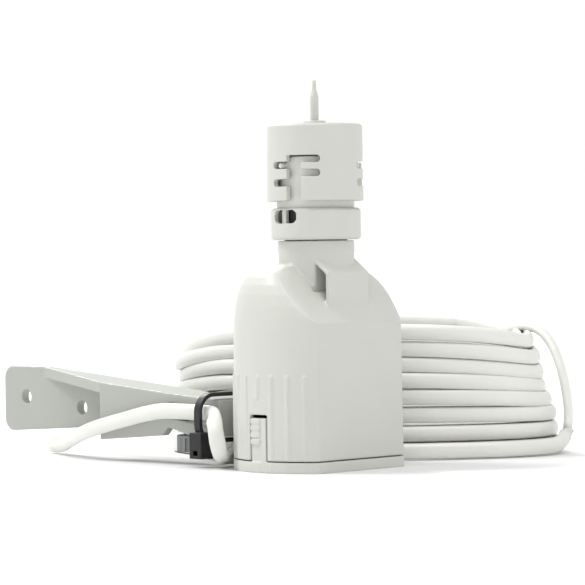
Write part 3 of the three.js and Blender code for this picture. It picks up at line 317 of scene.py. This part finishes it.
def coil_turns():
    """The wound part: three columns of eight turns, clockwise from above, the last one cut short."""
    points = []
    turns = COIL_COLUMNS * COIL_LAYERS
    last = turns - 1 + COIL_LEAVE_TURN
    for step in range(int(last * TURN_STEPS) + 1):
        share = step / TURN_STEPS
        turn = int(share)
        column = turn // COIL_LAYERS
        place = turn % COIL_LAYERS
        climb = eased((share - turn - COIL_CLIMB_FROM) / (1 - COIL_CLIMB_FROM))
        upward = column % 2 == 0
        layer = place if upward else COIL_LAYERS - 1 - place
        column_now = column
        if place == COIL_LAYERS - 1:
            column_now += climb
        else:
            layer += climb if upward else -climb
        degrees = COIL_START_DEG - 360 * share
        t = math.radians(degrees)
        end = abs(math.cos(t)) ** COIL_END_SHARPNESS
        near = math.cos(t) > 0
        cone = COIL_END_INSET if near else COIL_FAR_INSET
        end_pitch = COIL_END_PITCH if near else COIL_FAR_PITCH
        pitch = COIL_PITCH + (end_pitch - COIL_PITCH) * end
        stagger = 0 if near else COIL_FAR_STAGGER * (0.5 - 0.5 * math.cos(math.pi * layer)) * end
        inset = (
            CABLE_THICK / 2 + COIL_SIDE_ROOM + column_now * COIL_COLUMN_STEP
            + cone * layer * end + stagger
            + COIL_SWAY * (0.5 + 0.5 * math.sin(2 * t + 1.9 * layer))
        )
        wave = COIL_WAVE * math.sin(t + 0.9 * layer) * min(1.0, layer)
        z = CABLE_WIDTH / 2 + COIL_FLOOR_ROOM + pitch * layer + wave
        x, y = ellipse_point(coil_long - inset, coil_short - inset, degrees)
        lean = COIL_LEAN * end * min(1.0, layer)
        to_centre = Vector((coil_centre.x - x, coil_centre.y - y, 0)).normalized() * lean
        points.append((Vector((x, y, z)), Vector((to_centre.x, to_centre.y, 1))))
    return points


def through(points, spacing=1.6):
    """Points and widths along a smooth curve through given ones."""
    dense = []
    for i in range(len(points) - 1):
        near = [points[max(0, min(len(points) - 1, i + k))] for k in (-1, 0, 1, 2)]
        length = (near[2][0] - near[1][0]).length
        steps = max(2, round(length / spacing))
        for k in range(steps):
            s = k / steps
            weights = (
                -0.5 * s + s * s - 0.5 * s ** 3,
                1 - 2.5 * s * s + 1.5 * s ** 3,
                0.5 * s + 2 * s * s - 1.5 * s ** 3,
                -0.5 * s * s + 0.5 * s ** 3,
            )
            place = sum((w * p[0] for w, p in zip(weights, near)), Vector())
            width = sum((w * p[1] for w, p in zip(weights, near)), Vector())
            dense.append((place, width))
    dense.append(points[-1])
    return dense


def cable_route():
    """Every point of the cable's centreline, with the direction across its width."""
    lead = [(Vector(p[:3]), Vector(p[3])) for p in LEAD_POINTS]
    tail = [(Vector(p[:3]), Vector(p[3])) for p in TAIL_POINTS]
    wound = coil_turns()
    first = through(lead + wound[:2])
    last = through(wound[-2:] + tail)
    return first[:-1] + wound[1:-2] + last


def flat_section():
    """The flat cable's outline: thin across, wide up."""
    outline = []
    power = 2 / CABLE_CORNER_POWER
    for i in range(SECTION_POINTS):
        a = 2 * math.pi * (i + 0.5) / SECTION_POINTS
        thin = math.copysign(abs(math.cos(a)) ** power, math.cos(a)) * CABLE_THICK / 2
        wide = math.copysign(abs(math.sin(a)) ** power, math.sin(a)) * CABLE_WIDTH / 2
        outline.append((thin, wide))
    return outline


def swept_cable():
    """The whole cable as one flat tube from the grommet to its cut end."""
    route = cable_route()
    section = flat_section()
    verts = []
    for i, (place, width) in enumerate(route):
        ahead = route[min(i + 1, len(route) - 1)][0]
        behind = route[max(i - 1, 0)][0]
        tangent = (ahead - behind).normalized()
        wide = (width - tangent * width.dot(tangent)).normalized()
        thin = wide.cross(tangent)
        at_end = i in (0, len(route) - 1)
        shrink = 0.8 if at_end else 1
        for a, b in section:
            verts.append((place + (thin * a + wide * b) * shrink) * MM)
    faces = []
    n = len(section)
    for i in range(len(route) - 1):
        for k in range(n):
            m = (k + 1) % n
            faces.append((i * n + k, i * n + m, (i + 1) * n + m, (i + 1) * n + k))
    faces.append(tuple(range(n)))
    faces.append(tuple(reversed(range((len(route) - 1) * n, len(route) * n))))
    mesh = bpy.data.meshes.new("cable")
    mesh.from_pydata(verts, [], faces)
    bm = bmesh.new()
    bm.from_mesh(mesh)
    bmesh.ops.recalc_face_normals(bm, faces=bm.faces)
    bm.to_mesh(mesh)
    bm.free()
    shade(mesh, 60)
    cable = link("cable", mesh)
    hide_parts("cable_lead", "cable_coil", "cable_tail")
    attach(cable, "frame")
    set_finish(cable, "cable_white")
    return cable


# ---------------------------------------------------------------- materials

def node_of(tree, kind, **settings):
    node = tree.nodes.new(kind)
    for key, value in settings.items():
        setattr(node, key, value)
    return node


def surface(name, colour, roughness, metallic=0.0, grain=900, bump=0.04, mottle=0.03, wear=0.06,
            subsurface=0.0, coat=0.0, stretch=(1, 1, 1)):
    """A shader with a fine moulded grain, a faint mottle of colour and uneven gloss."""
    material = bpy.data.materials.new(name)
    material.use_nodes = True
    tree = material.node_tree
    shader = tree.nodes["Principled BSDF"]
    shader.inputs["Metallic"].default_value = metallic
    shader.inputs["Subsurface Weight"].default_value = subsurface
    shader.inputs["Subsurface Radius"].default_value = (0.002, 0.0018, 0.0015)
    shader.inputs["Coat Weight"].default_value = coat
    shader.inputs["Coat Roughness"].default_value = 0.15

    place = node_of(tree, "ShaderNodeTexCoord")
    scaled = node_of(tree, "ShaderNodeMapping")
    scaled.inputs["Scale"].default_value = stretch
    tree.links.new(place.outputs["Object"], scaled.inputs["Vector"])

    def noise(scale, detail):
        node = node_of(tree, "ShaderNodeTexNoise")
        node.inputs["Scale"].default_value = scale
        node.inputs["Detail"].default_value = detail
        tree.links.new(scaled.outputs["Vector"], node.inputs["Vector"])
        return node

    broad = noise(MOTTLE_SCALE, 4)
    fine = noise(grain, 5)

    tint = node_of(tree, "ShaderNodeValToRGB")
    dark = [max(0.0, c * (1 - mottle)) for c in colour]
    light = [min(1.0, c * (1 + mottle)) for c in colour]
    tint.color_ramp.elements[0].position = 0.3
    tint.color_ramp.elements[0].color = (*dark, 1)
    tint.color_ramp.elements[1].position = 0.7
    tint.color_ramp.elements[1].color = (*light, 1)
    tree.links.new(broad.outputs["Fac"], tint.inputs["Fac"])
    tree.links.new(tint.outputs["Color"], shader.inputs["Base Color"])

    gloss = node_of(tree, "ShaderNodeMapRange")
    gloss.inputs["To Min"].default_value = max(0.02, roughness - wear)
    gloss.inputs["To Max"].default_value = min(1.0, roughness + wear)
    tree.links.new(broad.outputs["Fac"], gloss.inputs["Value"])
    tree.links.new(gloss.outputs["Result"], shader.inputs["Roughness"])

    raised = node_of(tree, "ShaderNodeBump")
    raised.inputs["Strength"].default_value = bump
    raised.inputs["Distance"].default_value = 0.0002
    tree.links.new(fine.outputs["Fac"], raised.inputs["Height"])
    tree.links.new(raised.outputs["Normal"], shader.inputs["Normal"])
    return material


def make_materials():
    """One material for each of the record's material slots."""
    white = (0.555, 0.565, 0.52)
    return {
        "housing_white": surface("housing_white", white, 0.42, grain=1400, bump=0.12, mottle=0.015,
                                 subsurface=0.04),
        # Painted shade: the bracket's white is made darker than the housing's to stand for the shade
        # it lies in behind the housing and coil.
        "bracket_white": surface("bracket_white", (0.39, 0.40, 0.37), 0.45, grain=1400, bump=0.12,
                                 mottle=0.02, subsurface=0.04),
        "inner_white": surface("inner_white", (0.65, 0.65, 0.61), 0.45, grain=1200, bump=0.1,
                               mottle=0.02, subsurface=0.04),
        "cable_white": surface("cable_white", (0.74, 0.74, 0.70), 0.36, grain=420, bump=0.14,
                               mottle=0.02, subsurface=0.05, coat=0.15),
        "tie_black": surface("tie_black", (0.006, 0.006, 0.007), 0.5, grain=900, bump=0.12,
                             wear=0.1),
        "screen_black": surface("screen_black", (0.03, 0.03, 0.032), 0.6, grain=5000, bump=0.9,
                                mottle=0.3),
        "rubber": surface("rubber", (0.035, 0.035, 0.037), 0.75, grain=1600, bump=0.25),
        "switch_grey": surface("switch_grey", (0.05, 0.05, 0.055), 0.5, grain=1500, bump=0.2),
        "button_red": surface("button_red", (0.42, 0.05, 0.04), 0.4, grain=1500, bump=0.1),
        "core_red": surface("core_red", (0.45, 0.04, 0.035), 0.4, grain=900, bump=0.15),
        "core_black": surface("core_black", (0.02, 0.02, 0.02), 0.4, grain=900, bump=0.15),
        "brass": surface("brass", (0.72, 0.52, 0.22), 0.3, metallic=1.0, grain=2000, bump=0.12,
                         mottle=0.06, stretch=(1, 1, 0.1)),
        "steel": surface("steel", (0.24, 0.245, 0.25), 0.5, metallic=1.0, grain=2200, bump=0.3,
                         mottle=0.2, stretch=(1, 1, 0.15)),
        "disc_tan": surface("disc_tan", (0.52, 0.40, 0.25), 0.9, grain=2600, bump=0.6, mottle=0.18,
                            stretch=(1, 1, 3)),
    }


def paint(obj, slot_name):
    obj.data.materials.clear()
    obj.data.materials.append(materials[slot_name])
    obj["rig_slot"] = slot_name


# ---------------------------------------------------------------- studio

def make_studio():
    """A pale floor under a white surround, with soft lights to the left, behind and above."""
    half = FLOOR_HALF * MM
    corners = [(-half, -half, 0), (half, -half, 0), (half, half, 0), (-half, half, 0)]
    mesh = bpy.data.meshes.new("studio_floor")
    mesh.from_pydata(corners, [], [(0, 1, 2, 3)])
    floor = link("studio_floor", mesh)
    pale = bpy.data.materials.new("studio_floor")
    pale.use_nodes = True
    shader = pale.node_tree.nodes["Principled BSDF"]
    shader.inputs["Base Color"].default_value = (FLOOR_TONE, FLOOR_TONE, FLOOR_TONE, 1)
    shader.inputs["Roughness"].default_value = 0.55
    mesh.materials.append(pale)

    make_world()
    for name, (ahead, right, up), strength, spread in SUNS:
        light = bpy.data.lights.new(name, "SUN")
        light.energy = strength
        light.angle = math.radians(spread)
        lamp = bpy.data.objects.new(name, light)
        bpy.context.scene.collection.objects.link(lamp)
        towards = view_forward * ahead + view_right * right + Vector((0, 0, up))
        lamp.rotation_euler = (-towards).to_track_quat("-Z", "Y").to_euler()


def make_world():
    """White at the horizon, dimmer overhead."""
    world = bpy.data.worlds.new("studio")
    world.use_nodes = True
    tree = world.node_tree
    background = tree.nodes["Background"]
    place = node_of(tree, "ShaderNodeTexCoord")
    split = node_of(tree, "ShaderNodeSeparateXYZ")
    ramp = node_of(tree, "ShaderNodeValToRGB")
    ramp.color_ramp.elements[0].position = HORIZON_END
    ramp.color_ramp.elements[0].color = (HORIZON_LIGHT, HORIZON_LIGHT, HORIZON_LIGHT, 1)
    ramp.color_ramp.elements[1].position = SKY_START
    ramp.color_ramp.elements[1].color = (SKY_LIGHT, SKY_LIGHT, SKY_LIGHT, 1)
    tree.links.new(place.outputs["Generated"], split.inputs["Vector"])
    tree.links.new(split.outputs["Z"], ramp.inputs["Fac"])
    tree.links.new(ramp.outputs["Color"], background.inputs["Color"])
    bpy.context.scene.world = world
    bpy.context.scene.view_settings.view_transform = "Standard"


def make_camera():
    """The camera stands level with the neck, about 0.84 m away."""
    data = bpy.data.cameras.new("camera")
    data.lens = CAMERA_LENS
    data.sensor_width = CAMERA_SENSOR
    data.clip_end = 50
    camera = bpy.data.objects.new("camera", data)
    bpy.context.scene.collection.objects.link(camera)
    yaw = math.radians(CAMERA_YAW)
    pitch = math.radians(CAMERA_PITCH)
    roll = math.radians(CAMERA_ROLL)
    ahead = view_forward * math.cos(yaw) - view_right * math.sin(yaw)
    right = view_right * math.cos(yaw) + view_forward * math.sin(yaw)
    ahead_down = ahead * math.cos(pitch) - Vector(UP) * math.sin(pitch)
    upward = right.cross(ahead_down)
    tilted_up = upward * math.cos(roll) + right * math.sin(roll)
    tilted_right = right * math.cos(roll) - upward * math.sin(roll)
    place = -view_forward * CAMERA_DISTANCE * MM + Vector((0, 0, CAMERA_HEIGHT * MM))
    rows = [
        (tilted_right[i], tilted_up[i], -ahead_down[i], place[i]) for i in range(3)
    ]
    camera.matrix_world = Matrix([*rows, (0, 0, 0, 1)])
    bpy.context.scene.camera = camera


# ---------------------------------------------------------------- assembly

azimuth = math.radians(CAMERA_AZIMUTH)
view_forward = Vector((-math.sin(azimuth), math.cos(azimuth), 0))
view_right = Vector((math.cos(azimuth), math.sin(azimuth), 0))

front_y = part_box("housing")[0].y / MM
coil_low, coil_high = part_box("cable_coil")
coil_centre = (coil_low + coil_high) / 2 / MM
turn = math.radians(COIL_LONG_DEG)
half_x = (coil_high.x - coil_low.x) / 2 / MM
half_y = (coil_high.y - coil_low.y) / 2 / MM
# the oval's half sizes, from the half sizes of its box
difference = (half_y ** 2 - half_x ** 2) / -math.cos(2 * turn)
coil_long = math.sqrt((half_x ** 2 + half_y ** 2 + difference) / 2)
coil_short = math.sqrt((half_x ** 2 + half_y ** 2 - difference) / 2)

make_camera()
make_studio()
materials = make_materials()

slot_of = {s["node"]: s["material_slot"] for s in frame["record"]["subparts"]}
cable = swept_cable()
paint(cable, "cable_white")
for spec in SOFTENED:
    skin = softened(*spec)
    paint(skin, slot_of[spec[0]])
paint(pressed_spring(), slot_of["return_spring"])
for name, node in frame["nodes"].items():
    if not node.hide_render:
        paint(node, slot_of[name])
